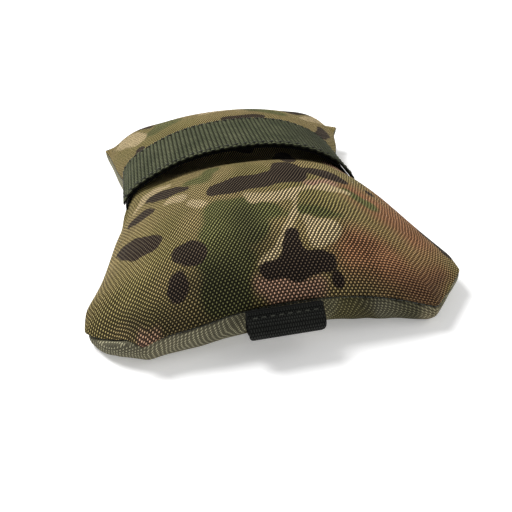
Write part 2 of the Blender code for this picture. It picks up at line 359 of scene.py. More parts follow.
DARK_STROKES = [
    [(-24, -44, 4.6), (-12, -43, 6.2), (0, -42.5, 5.2), (9, -41, 5.2)],
    [(9, -41, 5.2), (17, -29, 6.6), (18, -37, 6.6), (17, -43, 4.6)],
    [(28, -34, 2.6), (34, -35, 4.4), (39, -37.5, 5), (43, -40.5, 3.4)],
    [(56, -45, 2.2)],
    [(-60, -22.5, 2), (-53, -26.5, 3.4), (-45, -30, 3.4), (-39, -33.5, 2.2)],
    [(-68, -34, 2.8), (-62, -35.5, 3.2), (-55, -38, 1.6)],
    [(-71, -51, 2.4), (-65.5, -55.5, 4.2), (-58.5, -61, 5.2), (-53, -64, 4.2)],
    [(-41, -76.5, 3.2), (-36, -78.5, 5), (-34, -80, 4.6)],
    [(-43.5, -87, 2.4), (-43.5, -91, 3.6), (-44, -94.5, 2.4)],
    [(5.4, -81, 2.6), (3.8, -87, 3.4), (2, -93, 4.4)],
    [(-8, -95.5, 3.4), (3, -95, 4.4), (12, -94, 3.4), (16.5, -94.5, 2.6)],
    [(17.8, -101.5, 2.6)],
    [(24, -16, 5), (27, -2, 7), (30, 8, 6)],
    [(-4, 50, 3), (22, 51, 3)],
    [(-57, 86, 3.5), (-50, 78, 3)],
    [(34, 84, 5), (48, 78, 6), (60, 84, 4)],
    [(-22, 92, 4), (-8, 88, 6), (2, 94, 4)],
    [(66, 46, 4), (70, 58, 5)],
    [(-66, 40, 3), (-62, 47, 3.6)],
    [(-8, 26, 5), (6, 22, 6)],
    [(72, -66, 3), (76, -76, 3.5)],
]
GREEN_STROKES = [
    [(-24, -60, 7), (-12, -64, 8), (-1, -67, 4.6)],
    [(-22, -71, 10), (-12, -75, 8)],
    [(-26, -84, 9), (-20, -90, 8)],
    [(-28, -98, 8), (-22, -101, 6)],
    [(5, -70, 1.2), (12, -68.5, 2.6), (20, -69.5, 2.6), (28, -71, 1.2)],
    [(-36, -28, 3.5), (-28, -30, 3.5), (-24, -20, 5)],
    [(40, -52, 3), (48, -60, 4)],
    [(-50, 62, 6), (-38, 70, 8), (-40, 84, 6)],
    [(20, 70, 8), (36, 62, 6)],
    [(74, 20, 6), (70, 34, 6)],
    [(-76, 12, 6), (-72, 28, 6)],
    [(10, 100, 7), (30, 98, 6)],
    [(60, -8, 5), (64, -20, 6)],
]
PALE_STROKES = [
    [(-10, -53, 1.2), (-6, -57.5, 2.6), (1, -58, 2.8), (10, -56.5, 2.4), (16, -54, 1.2)],
    [(-46, -38.5, 2.8), (-40, -41.5, 2.4)],
    [(-35, -48, 2.2), (-31, -52, 2.6)],
    [(-69, -23, 1.6), (-64, -19, 2.6), (-57, -17.5, 2.6), (-49, -20.5, 1.6)],
    [(13, -74, 1.8), (17, -81, 5), (20, -79, 4.6), (13.5, -87, 1.8)],
    [(11, -61, 0.9), (8, -70, 0.9), (4, -78, 1.0), (-0.5, -85, 1.1), (-7, -90.5, 1.5), (-10.5, -92.5, 1.0)],
    [(20, -52, 1.6), (30, -50, 2.4), (40, -54, 1.8)],
    [(-66, 74, 8), (-60, 62, 6)],
    [(56, 66, 4), (66, 76, 5)],
    [(0, 74, 4), (-14, 70, 5)],
]
PINK_STROKES = [
    [(-12, -100, 2), (-4, -102.5, 3), (10, -102.5, 3)],
    [(-60, -104, 2.6), (-54, -104.5, 1.6)],
    [(22, -48, 3), (34, -46, 4)],
    [(62, -20, 6), (58, -6, 5)],
]
RUST_STROKES = [
    [(27, -92, 7), (33, -88, 7), (42, -95, 7), (52, -101, 6), (70, -96, 7)],
    [(70, -66, 5), (66, -40, 6)],
    [(44, -50, 7), (54, -62, 9), (62, -78, 8)],
]
# painted shade, not print: soft patches, mostly along the near seam, that darken whatever colour lies under
# them
SHADE_STROKES = [
    [(-40, -92, 4), (-28, -95, 8), (-20, -101, 6)],
    [(-66, -98, 5), (-50, -104, 6), (-30, -106, 5)],
    [(-12, -66, 4), (-12, -78, 5), (-14, -88, 5)],
    [(30, -105, 4), (52, -105, 6), (70, -98, 4)],
    [(-10, 84, 6), (20, 88, 5)],
]
BASE_SHADE_STROKES = SHADE_STROKES[1:2]


def stroke_distance(x, y, strokes, blend=1.5):
    """Distance in millimetres to the nearest stroke's edge, less than 0 inside it."""
    total = np.zeros_like(x)
    for stroke in strokes:
        ends = list(zip(stroke, stroke[1:])) or [(stroke[0], stroke[0])]
        for (ax, ay, ar), (bx, by, br) in ends:
            length2 = (bx - ax) ** 2 + (by - ay) ** 2
            t = np.clip(((x - ax) * (bx - ax) + (y - ay) * (by - ay)) / max(length2, 1e-9), 0, 1)
            gap = np.hypot(x - ax - t * (bx - ax), y - ay - t * (by - ay)) - (ar + t * (br - ar))
            total += np.exp(-np.clip(gap, -60, 60) / blend)
    return -blend * np.log(np.maximum(total, 1e-20))


WOBBLE_SIZE, WOBBLE_DEPTH, MOTTLE_SIZE = 11, 1.3, 34


def print_on(mesh, u, v, seed, side):
    """Gives the panel its print and its patches of painted shade: how far each vertex is from the edge of
    each.
    """
    x, y = u * HALF_WIDTH / MM * side, v * HALF_LENGTH / MM
    flat = np.stack([x, y, np.zeros_like(x)], axis=1)
    x = x + lumps(flat, WOBBLE_SIZE, seed + 3) * WOBBLE_DEPTH
    y = y + lumps(flat, WOBBLE_SIZE, seed + 7) * WOBBLE_DEPTH
    crisp = [stroke_distance(x, y, strokes) for strokes in (DARK_STROKES, GREEN_STROKES, PALE_STROKES)]
    shade_strokes = SHADE_STROKES if side > 0 else BASE_SHADE_STROKES
    soft = [stroke_distance(x, y, strokes, blend=4) for strokes in (PINK_STROKES, RUST_STROKES, shade_strokes)]
    set_values(mesh, "print_crisp", np.stack(crisp, axis=1))
    set_values(mesh, "soft_print_and_shade", np.stack(soft, axis=1))
    set_values(mesh, "mottle", lumps(flat, MOTTLE_SIZE, seed + 11) * 10)


# ---- material recipes ----

class Recipe:
    """Builds a material from nodes; each method returns the socket that carries its result."""

    def __init__(self, name, **constants):
        self.material = bpy.data.materials.new(name)
        self.material.use_nodes = True
        self.tree = self.material.node_tree
        self.shader = self.tree.nodes["Principled BSDF"]
        for socket, value in constants.items():
            self.shader.inputs[socket.replace("_", " ")].default_value = value

    def put(self, socket, value):
        if isinstance(value, bpy.types.NodeSocket):
            self.tree.links.new(value, socket)
        else:
            socket.default_value = value

    def node(self, kind, inputs, **settings):
        made = self.tree.nodes.new("ShaderNode" + kind)
        for setting, value in settings.items():
            setattr(made, setting, value)
        for socket, value in inputs.items():
            self.put(made.inputs[socket], value)
        return made

    def math(self, operation, a, b=0.0):
        return self.node("Math", {0: a, 1: b}, operation=operation).outputs[0]

    def times(self, a, b):
        return self.math("MULTIPLY", a, b)

    def total(self, *numbers):
        return functools.reduce(lambda sum_so_far, number: self.math("ADD", sum_so_far, number), numbers)

    def attribute(self, name, part="Vector"):
        return self.node("Attribute", {}, attribute_name=name).outputs[part]

    def split(self, vector):
        return self.node("SeparateXYZ", {0: vector}).outputs[:]

    def join(self, x, y, z=0.0):
        return self.node("CombineXYZ", {0: x, 1: y, 2: z}).outputs[0]

    def noise(self, vector, scale, detail=2.0, roughness=0.5):
        inputs = {"Vector": vector, "Scale": scale, "Detail": detail, "Roughness": roughness}
        return self.node("TexNoise", inputs).outputs["Fac"]

    def fit(self, value, low, high, new_low=0.0, new_high=1.0, **settings):
        inputs = {0: value, 1: low, 2: high, 3: new_low, 4: new_high}
        return self.node("MapRange", inputs, **settings).outputs[0]

    def step(self, value, low, high):
        return self.fit(value, low, high, interpolation_type="SMOOTHSTEP")

    def mix(self, share, a, b):
        inputs = {0: share, 6: a, 7: b}
        return self.node("Mix", inputs, data_type="RGBA").outputs[2]

    def scale(self, colour, number):
        start = colour[:3] if isinstance(colour, tuple) else colour
        inputs = {0: start, "Scale": number}
        return self.node("VectorMath", inputs, operation="SCALE").outputs[0]

    def bump(self, height, distance, strength=1.0):
        inputs = {"Height": height, "Distance": distance, "Strength": strength}
        return self.node("Bump", inputs).outputs[0]

    def crowns(self, x, y):
        """The raised parts of a plain weave's crossing yarns, each from 0 to 1."""
        wave_x = self.math("SINE", self.times(x, math.pi))
        wave_y = self.math("SINE", self.times(y, math.pi))
        both = self.times(wave_x, wave_y)
        over = self.math("MAXIMUM", both, 0.0)
        under = self.math("MAXIMUM", self.times(both, -1.0), 0.0)
        return over, under

    def finish(self, colour, roughness, normal):
        self.put(self.shader.inputs["Base Color"], colour)
        self.put(self.shader.inputs["Roughness"], roughness)
        self.put(self.shader.inputs["Normal"], normal)
        return self.material


def colour(red, green, blue):
    """A display colour, 0 to 255, as the renderer's linear colour."""
    values = [c / 255 for c in (red, green, blue)]
    linear = [c / 12.92 if c <= 0.04045 else ((c + 0.055) / 1.055) ** 2.4 for c in values]
    return (*linear, 1.0)


def fabric_material(name, gap, crest, ground, warm, dark, green, pale, pink, rust):
    """Coarse printed nylon in a plain weave. The print is painted lighter on the yarns' crowns as painted
    highlight and darker in the gaps between them as painted shade.
    """
    r = Recipe(name, Specular_IOR_Level=0.12)
    place = r.attribute("cloth")
    drift = r.noise(place, 1 / (9 * MM), 1.0)
    cloth_x, cloth_y, _ = r.split(place)
    x = r.total(r.math("DIVIDE", cloth_x, YARN_X), r.times(drift, 1.1))
    y = r.total(r.math("DIVIDE", cloth_y, YARN_Y), r.times(drift, -0.9))
    over, under = r.crowns(x, y)
    grain = r.noise(place, 1 / (0.5 * MM), 2.0, 0.7)

    edge_noise = r.fit(r.noise(place, 1 / (1.1 * MM), 2.0), 0, 1, -0.7, 0.7)
    near_dark, near_green, near_pale = r.split(r.attribute("print_crisp"))
    near_pink, near_rust, near_painted_shade = r.split(r.attribute("soft_print_and_shade"))
    mottle = r.attribute("mottle", "Fac")

    def inside(distance, softness, jitter=1.0):
        ragged = r.total(distance, r.times(edge_noise, jitter))
        return r.math("SUBTRACT", 1.0, r.step(ragged, -softness, softness))

    base = r.mix(r.step(mottle, -5.0, 5.0), ground, warm)
    base = r.mix(inside(near_rust, 7.0), base, rust)
    base = r.mix(inside(near_green, 1.8), base, green)
    # painted shade: the colour darkened to 0.45 of itself inside the shade patches
    base = r.mix(inside(near_painted_shade, 8.0), base, r.scale(base, 0.45))
    base = r.mix(inside(near_pink, 2.5), base, pink)
    base = r.mix(inside(near_pale, 0.9), base, pale)
    base = r.mix(inside(near_dark, 0.35, 0.7), base, dark)

    # the painted highlights on the crowns run together into slanting lines on the upper part, and into rows
    # on the right
    wander = r.fit(drift, 0, 1, -15 * MM, 15 * MM)
    flat_part = r.step(r.total(cloth_y, wander), -100 * MM, -70 * MM)
    right_part = r.step(r.total(cloth_x, wander), 18 * MM, 45 * MM)
    slant_share = r.times(flat_part, r.math("SUBTRACT", 1.0, r.times(right_part, 0.8)))
    twill = r.math("COSINE", r.times(r.math("SUBTRACT", x, y), math.pi))
    twill = r.times(r.math("MAXIMUM", twill, 0.0), r.fit(slant_share, 0, 1, 0.05, 0.6))
    rows = r.math("ABSOLUTE", r.math("SINE", r.times(y, math.pi)))
    rows = r.times(r.math("POWER", rows, 2.0), r.fit(right_part, 0, 1, 0.08, 0.42))
    dots = r.times(over, r.fit(slant_share, 0, 1, 0.95, 0.65))
    crown = r.math("MINIMUM", r.total(dots, r.times(under, 0.15), twill, rows), 1.0)
    worn = r.fit(r.noise(place, 1 / (22 * MM), 3.0), 0.3, 0.7, 0.86, 1.14)
    # painted shade and painted highlight: the colour scales from gap, between the yarns, up to crest, on
    # their crowns
    shade = r.times(r.fit(r.math("POWER", crown, 1.5), 0.0, 1.0, gap, crest), worn)
    shade = r.times(shade, r.fit(grain, 0.2, 0.8, 0.75, 1.25))
    height = r.total(r.math("SQRT", over), r.times(r.math("SQRT", under), 0.6))
    normal = r.bump(height, 0.26 * MM, 1.0)
    # painted highlight: a pale sheen mixed into the colour on the crowns
    shine = r.times(r.math("POWER", crown, 3.0), 0.1)
    tone = r.mix(shine, base, colour(150, 148, 112))
    return r.finish(r.scale(tone, shade), r.fit(crown, 0.0, 1.0, 1.0, 0.7), normal)


def webbing_material(name, tone, tone_low, dot_pitch, rib_pitch, shine, contrast):
    """Woven webbing: ribs across it, each crossed by a row of small yarn crowns. The crowns are painted
    light as highlight, and the grooves between the ribs painted dark as shade.
    """
    r = Recipe(name, Specular_IOR_Level=0.15)
    place = r.attribute("cloth")
    along, across, _ = r.split(place)
    drift = r.fit(r.noise(place, 1 / (6 * MM), 2.0), 0, 1, -0.35, 0.35)
    rib = r.math("FLOOR", r.math("DIVIDE", along, rib_pitch))
    offset = r.times(rib, 0.5)
    turns = r.total(r.math("DIVIDE", across, dot_pitch), offset, drift)
    dot = r.math("ABSOLUTE", r.math("SINE", r.times(turns, math.pi)))
    dot = r.math("POWER", dot, 2.4)
    ridge = r.attribute("ridge", "Fac")
    crown = r.times(r.fit(dot, 0, 1, 0.0, 1.1), r.fit(ridge, 0.0, 1.0, 0.05, 1.0))
    fibre = r.noise(r.join(r.times(along, 3.0), across), 1 / (0.7 * MM), 2.0, 0.6)
    fade = r.noise(place, 1 / (14 * MM), 3.0)
    base = r.mix(r.fit(fade, 0.35, 0.65), tone, tone_low)
    # painted highlight on the crowns and painted shade in the grooves between them
    low, high = 1 - contrast, 1 + 5 * contrast
    shade = r.times(r.fit(crown, 0.0, 1.0, low, high), r.fit(fibre, 0.2, 0.8, 0.7, 1.3))
    # painted shade: darker from 80 to 115 mm along the webbing, for the strap's right part, which turns
    # away from the light
    shade = r.times(shade, r.fit(r.step(along, 80 * MM, 115 * MM), 0, 1, 1.0, 0.62))
    normal = r.bump(dot, 0.22 * MM, 0.9)
    return r.finish(r.scale(base, shade), r.fit(crown, 0, 1, 0.9, shine), normal)


def thread_material(name, tone):
    """Twisted sewing thread: slanting plies and loose fibres."""
    r = Recipe(name, Specular_IOR_Level=0.4, Sheen_Weight=0.15)
    position = r.node("NewGeometry", {}).outputs["Position"]
    x, y, z = r.split(position)
    slant = r.times(r.total(x, y, z), 2 * math.pi / (0.55 * MM))
    ply = r.math("ABSOLUTE", r.math("SINE", slant))
    fibre = r.noise(position, 1 / (0.25 * MM), 2.0)
    # painted shade in the grooves between the plies and painted highlight on their crests
    shade = r.times(r.fit(ply, 0, 1, 0.55, 1.15), r.fit(fibre, 0.2, 0.8, 0.8, 1.2))
    height = r.total(ply, r.times(fibre, 0.4))
    return r.finish(r.scale(tone, shade), r.fit(ply, 0, 1, 0.85, 0.6), r.bump(height, 0.1 * MM, 0.8))


def filling_material():
    """White polyester fibre, matted into tufts."""
    r = Recipe("filling_fibre", Specular_IOR_Level=0.2, Sheen_Weight=0.4)
    position = r.node("NewGeometry", {}).outputs["Position"]
    tufts = r.noise(position, 1 / (9 * MM), 4.0, 0.65)
    stretched = r.node("VectorMath", {0: position, 1: (1.0, 4.0, 1.0)}, operation="MULTIPLY").outputs[0]
    strands = r.noise(stretched, 1 / (1.2 * MM), 3.0, 0.7)
    # painted shade: the same tufts that raise the bump make the fibre greyer in the hollows between them
    tone = r.mix(r.fit(tufts, 0.3, 0.7), colour(214, 212, 204), colour(240, 240, 236))
    height = r.total(tufts, r.times(strands, 0.35))
    roughness = r.fit(strands, 0.2, 0.8, 0.85, 1.0)
    return r.finish(tone, roughness, r.bump(height, 1.5 * MM, 0.8))


# ---- the cover ----

def simulate_cover(points_top, points_bottom):
    """Blows the sewn cover up, so that cloth cut too wide for its seam puckers beside it.

    The bag is simulated at SIMULATION_SCALE times its size, which suits the solver, and its
    seam stays where it is. Nothing moves further than its limit, which is least under the strap.
    """
    rows, columns = points_top.shape[:2]
    top_index = np.arange(rows * columns).reshape(rows, columns)
    bottom_index = top_index.copy()
    inner = np.zeros((rows, columns), bool)
    inner[1:-1, 1:-1] = True
    bottom_index[inner] = np.arange(inner.sum()) + rows * columns

    def joined(top_values, bottom_values):
        below = bottom_values[inner].reshape(inner.sum(), -1)
        return np.concatenate([top_values.reshape(rows * columns, -1), below])

    points = joined(points_top, points_bottom)
    jitter = lumps(points, 9 * MM, 5.0)[:, None] * np.array([0, 0, 0.3 * MM])
    bag = new_piece("cover_simulation", (points + jitter) * SIMULATION_SCALE,
                    grid_faces(top_index) + grid_faces(bottom_index, flip=True))

    under_strap = np.exp(-((GRID_V * HALF_LENGTH - STRAP_Y) / (STRAP_HALF * 1.1)) ** 4)
    held_down = under_strap * (1 - 0.8 * smoothstep(np.abs(GRID_U), 0.6, 0.85))
    at_seam = smoothstep(FROM_MIDDLE, 0.985, 1.0)
    on_floor = 1 - smoothstep(points_bottom[..., 2], 0, 4 * MM)
    hold = joined(0.05 + at_seam + 0.4 * held_down, 0.05 + at_seam + 0.5 * on_floor)
    group = bag.vertex_groups.new(name="hold")
    for number, weight in enumerate(np.minimum(1.0, hold[:, 0])):
        group.add([number], float(weight), "REPLACE")

    bag.shape_key_add(name="sewn")
    cut_key = bag.shape_key_add(name="cut")
    cut_x, cut_y = cut_plan(GRID_U, GRID_V)
    flat = np.stack([cut_x, cut_y, np.zeros_like(cut_x)], axis=-1) * SPARE_CLOTH * SIMULATION_SCALE
    cut_key.data.foreach_set("co", joined(flat, flat).astype(np.float32).ravel())

    settings = bag.modifiers.new("cloth", "CLOTH").settings
    for name, value in CLOTH_VALUES.items():
        setattr(settings, name, value)
    settings.vertex_group_mass = "hold"
    settings.rest_shape_key = cut_key
    settings.effector_weights.gravity = 0
    scene.frame_start = 1
    scene.frame_end = SIMULATION_FRAMES
    for number in range(1, SIMULATION_FRAMES + 1):
        scene.frame_set(number)
    graph = bpy.context.evaluated_depsgraph_get()
    moved = vertex_places(bag.evaluated_get(graph).data) / SIMULATION_SCALE
    bpy.data.objects.remove(bag)
    scene.frame_set(1)

    shift = moved - points
    length = np.linalg.norm(shift, axis=1, keepdims=True)
    top_limit = (2 + 5.5 * smoothstep(FROM_MIDDLE, 0.35, 0.85)) * (1 - 0.6 * under_strap)
    bottom_limit = 1.0 + 4.0 * smoothstep(-GRID_V, 0.3, 0.8)
    limit = joined(top_limit, bottom_limit) * MM
    moved = points + shift * np.minimum(1.0, limit / np.maximum(length, 1e-9))
    new_top = moved[:rows * columns].reshape(rows, columns, 3)
    new_bottom = new_top.copy()
    new_bottom[inner] = moved[rows * columns:]
    return new_top, new_bottom


def outward(points):
    """Level directions away from the bag's middle line, at the seam's places."""
    away = points.copy()
    away[..., 2] = 0
    away[..., 0] /= HALF_WIDTH ** 2
    away[..., 1] /= HALF_LENGTH ** 2
    return unit(away)


def tuck_seam(points, side):
    """Turns the panel's edge in at the seam; side is 1 above the seam and -1 below it."""
    rows, columns = points.shape[:2]
    row, column = np.indices((rows, columns))
    from_edge = np.minimum(np.minimum(row, rows - 1 - row), np.minimum(column, columns - 1 - column))
    seam_z = seam_height(GRID_U, GRID_V)
    away = outward(points)
    for ring, (inward, lift) in enumerate(SEAM_TURN):
        here = from_edge == ring
        points[here] -= away[here] * inward
        level = seam_z[here] + side * lift
        innermost = ring == len(SEAM_TURN) - 1
        points[here, 2] = (points[here, 2] + level) / 2 if innermost else level
    return points


def unfolded_places(places, u, v):
    """Where the lower panel's cloth lies, with its steep rim folded outwards onto the level."""
    away = outward(places)
    rim = smoothstep(np.maximum(np.abs(u), np.abs(v)), 0.5, 0.9)
    drop = (seam_height(u, v) - places[:, 2]) * rim
    return places[:, 0] - away[:, 0] * drop, places[:, 1] - away[:, 1] * drop


def settle(points):
    """Hangs the near left ear's outer corner down, and draws the two far corners out to points."""
    ear, tip = near_left_corner()
    moved = points + near(points, ear, EAR_REACH) * EAR_HANG + near(points, tip, EAR_REACH) * EAR_LIFT
    for side, move in FAR_POINTS:
        moved += near(points, far_corner(side), FAR_POINT_REACH) * move
    moved[..., 2] = np.maximum(moved[..., 2], 0.05 * MM)
    return moved


def near_left_corner():
    """The places on the seam where the near left corner's cut meets the bag's side and its end."""
    side_x, side_y = plan(-1.0, -(1 - CORNER_CUT / HALF_LENGTH))
    end_x, end_y = plan(-(1 - CORNER_CUT / HALF_WIDTH), -1.0)
    return np.array([side_x, side_y, SEAM_NEAR_CORNER_Z]), np.array([end_x, end_y, SEAM_NEAR_CORNER_Z])


def far_corner(side):
    """The place on the seam where a far corner's cut meets the bag's side, -1 left and 1 right."""
    x, y = plan(side, 1 - CORNER_CUT / HALF_LENGTH)
    return np.array([x, y, SEAM_FAR_CORNER_Z])


def fill_under_strap(points):
    """Keeps the top panel below the strap's lining, and brings it up close to the lining's ends."""
    line = arch_path(0.0)
    first, last = np.argmin(line[:, 0]), np.argmax(line[:, 0])
    line = line[first:last + 1]
    lining_z = np.interp(points[..., 0], line[:, 0], line[:, 2])
    off_centre = np.abs(points[..., 1] - STRAP_Y)
    below = 1 - smoothstep(off_centre, STRAP_HALF + 4 * MM, STRAP_HALF + 13 * MM)
    to_side = np.abs(GRID_U)
    close = below * smoothstep(to_side, 0.62, 0.9) * (1 - smoothstep(to_side, 0.99, 1.0))
    gap = (0.9 - 0.6 * smoothstep(to_side, 0.62, 0.8)) * MM
    lowest = np.maximum(points[..., 2], lining_z - gap - 0.1 * MM)
    moved = points.copy()
    moved[..., 2] += close * (lowest - points[..., 2])
    highest = np.minimum(moved[..., 2], lining_z - gap)
    moved[..., 2] += (off_centre < STRAP_HALF + 3 * MM) * (highest - moved[..., 2])
    return moved


def hollow_behind_loop(points):
    """Presses the lower panel in where the loop lies against it when it swings right down."""
    behind = 1 - smoothstep(np.abs(points[..., 0] - LOOP_X), LOOP_HALF + 1 * MM, LOOP_HALF + 9 * MM)
    behind = behind * smoothstep(loop_hinge.z - points[..., 2], 0.0, 3.5 * MM)
    furthest = np.maximum(points[..., 1], LOOP_ROOT_Y + LOOP_EYE_RADIUS + LOOP_THICKNESS)
    moved = points.copy()
    moved[..., 1] += behind * (furthest - points[..., 1])
    return moved


def near(points, centre, radius):
    """1 at the centre, falling smoothly to 0 at the radius."""
    distance = np.linalg.norm(points - centre, axis=-1)
    return (1 - smoothstep(distance, 0.0, radius))[..., None]


def shape_details(top, bottom):
    """Puffs and dents of the cloth at the corners, and the fold in the lower panel beside the loop."""
    ear, tip = near_left_corner()
    top = top + near(top, tip + mm(0, 0, 2), TIP_REACH) * TIP_PUFF
    top = top + near(top, ear + mm(0, 6, 7), BESIDE_EAR_REACH) * BESIDE_EAR_PUFF
    for side in (-1.0, 1.0):
        mirror = np.array([side, 1, 1])
        corner = far_corner(side)
        top = top + near(top, corner + mm(-5, -3, 3) * mirror, FAR_DENT_REACH) * FAR_DENT
        top = top + near(top, corner + mm(-20, -4, 12) * mirror, FAR_PUFF_REACH) * FAR_PUFF * mirror
    bottom = bottom + near(bottom, (ear + tip) / 2 - mm(0, 0, 5), UNDER_EAR_REACH) * UNDER_EAR_PUFF

    fold_start = np.array([LOOP_X + LOOP_HALF, -HALF_LENGTH, SEAM_END_Z]) + mm(9, 3, -1)
    fold_end = np.array([LOOP_X + LOOP_HALF, -HALF_LENGTH, 0]) + mm(27, 15, 1)
    along = fold_end - fold_start
    t = np.clip(((bottom - fold_start) @ along) / (along @ along), 0, 1)
    gap = np.linalg.norm(bottom - fold_start - t[..., None] * along, axis=-1)
    dent = np.exp(-(gap / FOLD_WIDTH) ** 2) * np.sin(np.clip(t, 0.04, 0.96) * math.pi) ** 0.5
    ridge = np.exp(-((gap - RIDGE_OFFSET) / RIDGE_WIDTH) ** 2) * smoothstep(t, 0.0, 0.5)
    bottom = bottom + dent[..., None] * FOLD_DENT + ridge[..., None] * FOLD_RIDGE
    return top, bottom


def make_panel(name, node, points, side, material, seed):
    """One panel of the cover; side is 1 for the upper panel and -1 for the lower one."""
    rows, columns = points.shape[:2]
    index = np.arange(rows * columns).reshape(rows, columns)
    piece = new_piece(name, points, grid_faces(index, flip=side < 0))
    set_values(piece.data, "u", GRID_U.ravel())
    set_values(piece.data, "v", GRID_V.ravel())
    smooth = piece.modifiers.new("smooth", "SUBSURF")
    smooth.levels = smooth.render_levels = 1
    bake_modifiers(piece)
    mesh = piece.data
    u, v = get_values(mesh, "u"), get_values(mesh, "v")
    if side > 0:
        x, y = cloth_places(top_height, u, v)
    else:
        x, y = unfolded_places(vertex_places(mesh), u, v)
    set_values(mesh, "cloth", np.stack([x, y, np.zeros_like(x)], axis=1))
    print_on(mesh, u, v, seed, side)
    mesh.materials.clear()
    mesh.materials.append(material)
    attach(piece, "bag")
    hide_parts(node)
    return piece


def make_cover():
    """The two panels: domed, swollen by the stuffing, then shaped where other pieces press on them."""
    top = surface(top_height, GRID_U, GRID_V)
    bottom = surface(bottom_height, GRID_U, GRID_V)
    top, bottom = simulate_cover(top, bottom)
    top, bottom = shape_details(top, bottom)
    top = tuck_seam(top, 1)
    bottom = tuck_seam(bottom, -1)
    top, bottom = settle(top), settle(bottom)
    top = fill_under_strap(top)
    bottom = hollow_behind_loop(bottom)
    camo = fabric_material(
        "camo_fabric", gap=0.03, crest=2.9, ground=colour(110, 99, 58), warm=colour(124, 108, 70),
        dark=colour(44, 30, 25), green=colour(84, 84, 46), pale=colour(164, 146, 110),
        pink=colour(142, 110, 90), rust=colour(128, 88, 60))
    base = fabric_material(
        "base_fabric", gap=0.3, crest=1.8, ground=colour(140, 136, 112), warm=colour(118, 114, 86),
        dark=colour(84, 76, 50), green=colour(98, 92, 60), pale=colour(164, 160, 136),
        pink=colour(150, 140, 112), rust=colour(152, 146, 120))
    cover = make_panel("cover_top", "top_panel", top, 1, camo, 0.0)
    belly = make_panel("cover_bottom", "bottom_panel", bottom, -1, base, 40.0)


# ---- webbing ----

def make_webbing(name, path, side, half_width, thickness, rib_pitch, rib_depth, material, narrowing=0):
    """Webbing whose middle follows path, with its width along side and ribs on its outer face.

    The ribs' ends are rounded off at both selvages, and each selvage comes in by narrowing at the
    middle of the path. The path's outer side is to its left, seen from the end side points to.
    """
    samples = 8
    length = along_path(path)
    ribs = round(length[-1] / rib_pitch)
    places = np.linspace(0, length[-1], ribs * samples + 1)
    middle = sample(path, length, places)
    outer = np.cross(unit(np.gradient(middle, axis=0)), side)
    ridge = np.abs(np.sin(np.arange(len(places)) / samples * math.pi)) ** 0.7

    turns = np.linspace(-1, 1, 25)
    across = np.sin(turns * math.pi / 2)
    past_flat = np.maximum(0, np.abs(across) * half_width - half_width + SELVAGE_ROUND) / SELVAGE_ROUND
    edge_round = np.sqrt(np.maximum(0.0, 1 - past_flat ** 2))
    width = half_width - narrowing * np.exp(-((places / length[-1] - 0.5) / NARROWING_SPAN) ** 2)
    rim = thickness / 2 - rib_depth
    points, cloth, ridges = [], [], []
    for face, depth in ((1, rib_depth), (-1, rib_depth * 0.5)):
        for share, soft in zip(across[::face], edge_round[::face]):
            level = face * (rim + depth * ridge) * (0.35 + 0.65 * soft)
            reach = share * width
            points.append(middle + outer * level[:, None] + np.outer(reach, side))
            cloth.append(np.stack([places, reach, np.zeros_like(places)], axis=1))
            ridges.append(ridge * soft)
    points = np.array(points)
    around, stations = points.shape[:2]
    index = np.arange(around * stations).reshape(around, stations)
    wrapped = np.concatenate([index, index[:1]])
    faces = grid_faces(wrapped)
    faces.append(index[:, 0].tolist())
    faces.append(index[::-1, -1].tolist())
    piece = new_piece(name, points, faces)
    set_values(piece.data, "cloth", np.array(cloth).reshape(-1, 3))
    set_values(piece.data, "ridge", np.array(ridges).ravel())
    piece.data.set_sharp_from_angle(angle=math.radians(60))
    piece.data.materials.append(material)
    return piece


def arch_path(offset, stop=1.0):
    """The strap's line across the bag, moved out by offset from its underside."""
    s = np.linspace(-1, 1, ARCH_POINTS) * stop
    u = spread(s)
    edge = plan(np.where(u < 0, -1.0, 1.0), np.full_like(u, STRAP_Y / HALF_LENGTH))[0]
    x = np.abs(u) * (edge + np.copysign(STRAP_CLEARANCE, edge))
    rise = np.where(u < 0, dome(u, *ARCH_LEFT), dome(u, *ARCH_RIGHT)) * (STRAP_UNDERSIDE_Z - STRAP_END_Z)
    z = STRAP_END_Z + rise
    tucked = (1 - smoothstep(rise, 0.0, LINING_TUCK_HEIGHT)) * LINING_TUCK
    pulled_in = (1 - smoothstep(rise, 0.0, RIGHT_PULL_HEIGHT)) * RIGHT_PULL
    flare = LEFT_FLARE * np.exp(-((rise - FLARE_HEIGHT) / FLARE_SPAN) ** 2)
    flare = flare * smoothstep(np.abs(u), 0.6, 0.9)
    x = x + np.where(u < 0, tucked - flare, -tucked - pulled_in)
    line = np.stack([x, np.full_like(x, STRAP_Y), z], axis=1)
    along = unit(np.gradient(line, axis=0))
    up = np.stack([-along[:, 2], np.zeros_like(x), along[:, 0]], axis=1)
    return line + up * offset


def loop_place(distance, height):
    """A place on the drooping loop, from its distance along it and its height above its middle."""
    y = LOOP_ROOT_Y - distance * math.cos(LOOP_DROOP) - height * math.sin(LOOP_DROOP)
    z = LOOP_ROOT_Z - distance * math.sin(LOOP_DROOP) + height * math.cos(LOOP_DROOP)
    return np.stack([np.full_like(y, LOOP_X), y, z], axis=-1)


def loop_path():
    """The folded webbing's middle line: out from one root, round the eye and back to the other."""
    bend = LOOP_EYE_RADIUS + LOOP_THICKNESS / 2
    root = LOOP_THICKNESS / 2 + LAYER_GAP / 2
    share = np.linspace(0, 1, 60)
    leg_height = root + (bend - root) * smoothstep(share, 0.15, 0.95)
    upper = loop_place(share * LOOP_EYE_DISTANCE, leg_height)
    angle = np.linspace(math.pi / 2, -math.pi / 2, 60)[1:-1]
    eye = loop_place(LOOP_EYE_DISTANCE + bend * np.cos(angle), bend * np.sin(angle))
    lower = loop_place(share * LOOP_EYE_DISTANCE, -leg_height)[::-1]
    return np.concatenate([upper, eye, lower])


